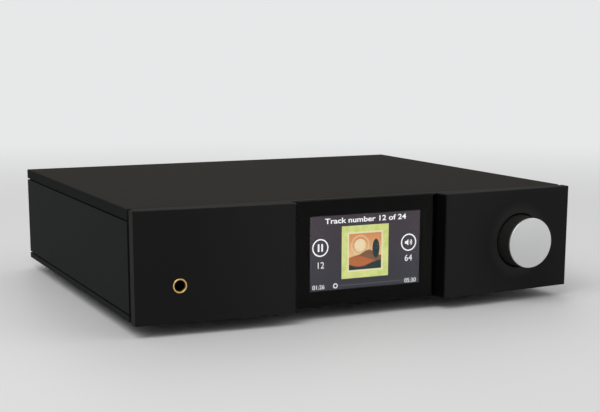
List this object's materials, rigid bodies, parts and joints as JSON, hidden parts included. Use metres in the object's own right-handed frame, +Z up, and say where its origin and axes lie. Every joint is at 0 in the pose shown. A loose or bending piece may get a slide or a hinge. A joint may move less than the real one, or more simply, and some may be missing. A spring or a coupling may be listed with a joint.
{
  "type": "network music streamer",
  "caption": "Low wide audio component in a black metal case: bowed front with a sunken lit display, large knob and headphone socket, with a row of sockets behind.",
  "frame": {"origin": "on the resting plane, under the middle of the whole outline", "axes": "+X to the right seen from the front, +Y from the front panel to the back, +Z up"},
  "size_m": [0.34, 0.3164, 0.0835],
  "materials": {
    "black_anodised_front": "fine bead-blasted black anodised",
    "black_anodised_shell": "fine textured matt black",
    "gloss_black_lining": "polished black",
    "window_glass": "polished, grey tinted",
    "mask_black": "matt printed black",
    "display_screen": "lit picture",
    "board_green": "solder resist",
    "zinc_steel": "zinc plated sheet",
    "screw_black": "black oxide",
    "knob_black": "satin black anodised",
    "knob_silver": "fine turned, satin",
    "shaft_steel": "ground",
    "encoder_plastic": "moulded",
    "gold_plate": "gold plated",
    "foot_metal": "turned, black anodised",
    "pad_rubber": "matt",
    "winding_tape": "polyester tape wound over",
    "capacitor_sleeve": "shrunk sleeve",
    "cooler_metal": "black anodised",
    "header_plastic": "moulded",
    "nickel_plate": "nickel plated",
    "socket_black": "moulded",
    "latch_metal": "nickel plated",
    "network_metal": "tinned shield",
    "insulator_white": "moulded",
    "fuse_glass": "glass tube with metal caps"
  },
  "bodies": {
    "root": {"aerial_sockets": "gold_plate", "analogue_board": "board_green", "base_plate": "black_anodised_shell", "base_screws": "screw_black", "board_headers": "header_plastic", "capacitors": "capacitor_sleeve", "chips_and_relays": "encoder_plastic", "coolers": "cooler_metal", "digital_board": "board_green", "display_board": "board_green", "display_glass": "window_glass", "display_mask": "mask_black", "display_panel": "display_screen", "display_ribbon": "header_plastic", "encoder_housing": "encoder_plastic", "feet": "foot_metal", "foot_pads": "pad_rubber", "front_control_boards": "board_green", "front_panel": "black_anodised_front", "front_subframe": "zinc_steel", "headphone_ferrule": "gold_plate", "headphone_jack": "encoder_plastic", "inlet_blades": "nickel_plate", "inlet_housing": "socket_black", "inner_screws": "screw_black", "internal_leads": "encoder_plastic", "left_side_panel": "black_anodised_shell", "network_socket": "network_metal", "optical_socket": "socket_black", "phono_insulators": "insulator_white", "phono_sockets": "gold_plate", "pillars_and_standoffs": "zinc_steel", "power_board": "board_green", "rear_plate": "black_anodised_shell", "rear_plate_screws": "screw_black", "right_side_panel": "black_anodised_shell", "socket_nuts": "nickel_plate", "switch_housing": "socket_black", "top_cover": "black_anodised_shell", "transformer_clamps": "zinc_steel", "transformer_pads": "encoder_plastic", "transformers": "winding_tape", "usb_sockets": "nickel_plate", "window_cheeks": "gloss_black_lining", "wireless_module": "board_green", "xlr_input_insert": "socket_black", "xlr_input_shell": "socket_black", "xlr_output_pins": "gold_plate", "xlr_output_shells": "socket_black"},
    "knob": {"knob_body": "knob_black", "knob_face": "knob_silver", "knob_set_screw": "screw_black", "encoder_shaft": "shaft_steel"},
    "knob_plunger": {"encoder_plunger": "encoder_plastic"},
    "power_switch": {"power_rocker": "socket_black"},
    "fuse_tray": {"fuse_drawer": "socket_black", "mains_fuse": "fuse_glass"},
    "latch": {"xlr_latch": "latch_metal"},
    "shutter": {"optical_shutter": "socket_black"}
  },
  "joints": [
    {"name": "knob_press", "type": "slide", "parent": "root", "child": "knob_plunger", "axis": [0, 1, 0], "range_m": [0, 0.0012], "stiffness_N_per_m": 3000, "springref_m": -0.0008},
    {"name": "knob_turn", "type": "hinge", "parent": "knob_plunger", "child": "knob", "pos_m": [0.124, -0.1575, 0.046], "axis": [0, -1, 0], "continuous": true},
    {"name": "power_rocker_tilt", "type": "hinge", "parent": "root", "child": "power_switch", "pos_m": [-0.098, 0.1466, 0.046], "axis": [-1, 0, 0], "range_deg": [0, 20]},
    {"name": "fuse_drawer_slide", "type": "slide", "parent": "root", "child": "fuse_tray", "axis": [0, 1, 0], "range_m": [0, 0.022]},
    {"name": "xlr_latch_press", "type": "slide", "parent": "root", "child": "latch", "axis": [0, -1, 0], "range_m": [0, 0.0015], "stiffness_N_per_m": 800, "springref_m": -0.0008},
    {"name": "optical_shutter_swing", "type": "hinge", "parent": "root", "child": "shutter", "pos_m": [0.017, 0.14625, 0.0418], "axis": [-1, 0, 0], "range_deg": [0, 80], "stiffness_Nm_per_rad": 0.0006, "springref_deg": -20.05}
  ]
}
